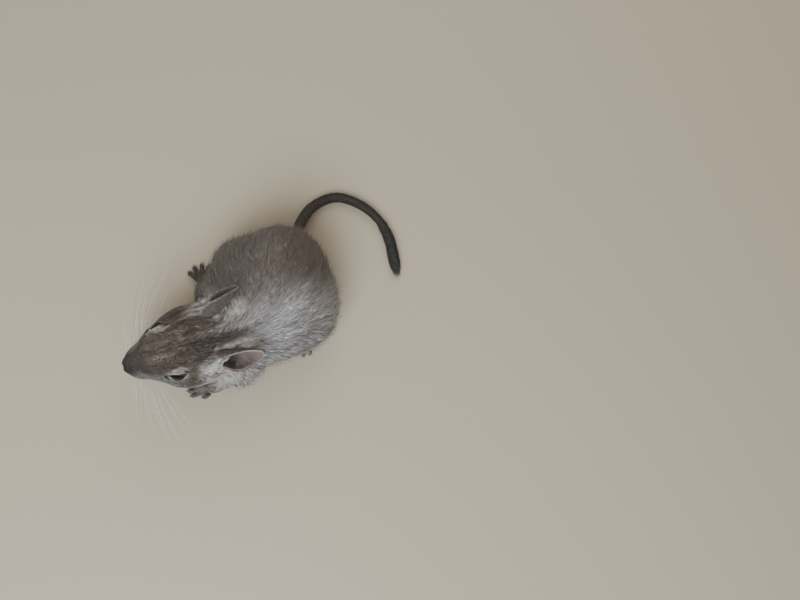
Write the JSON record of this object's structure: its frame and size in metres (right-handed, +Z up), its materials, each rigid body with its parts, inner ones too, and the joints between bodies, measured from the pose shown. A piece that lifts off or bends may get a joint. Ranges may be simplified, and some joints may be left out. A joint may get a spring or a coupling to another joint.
{
  "type": "degu",
  "caption": "Young degu, a small rodent, life-size, crouching on all fours with its head turned aside and its bristle-tipped tail curled on the floor.",
  "frame": {"origin": "middle of the footprint's bounding box, on the floor", "axes": "+Z up; -X is where the head points, turned a little towards -Y; +Y is the side of the rump and the tail's root"},
  "size_m": [0.107, 0.1022, 0.0446],
  "materials": {
    "coat": "soft agouti fur",
    "paw": "matte skin with short hair",
    "ear": "thin matte skin",
    "eye": "wet gloss",
    "tail": "short dark bristles"
  },
  "bodies": {
    "root": {"head": "coat", "neck": "coat", "torso": "coat", "foreleg_left": "coat", "foreleg_right": "coat", "hindleg_left": "coat", "hindleg_right": "coat", "forepaw_left": "paw", "forepaw_right": "paw", "hindfoot_left": "paw", "hindfoot_right": "paw", "ear_left": "ear", "ear_right": "ear", "eye_left": "eye", "eye_right": "eye", "tail_base": "tail", "tail_middle": "tail", "tail_tip": "tail"}
  },
  "joints": []
}
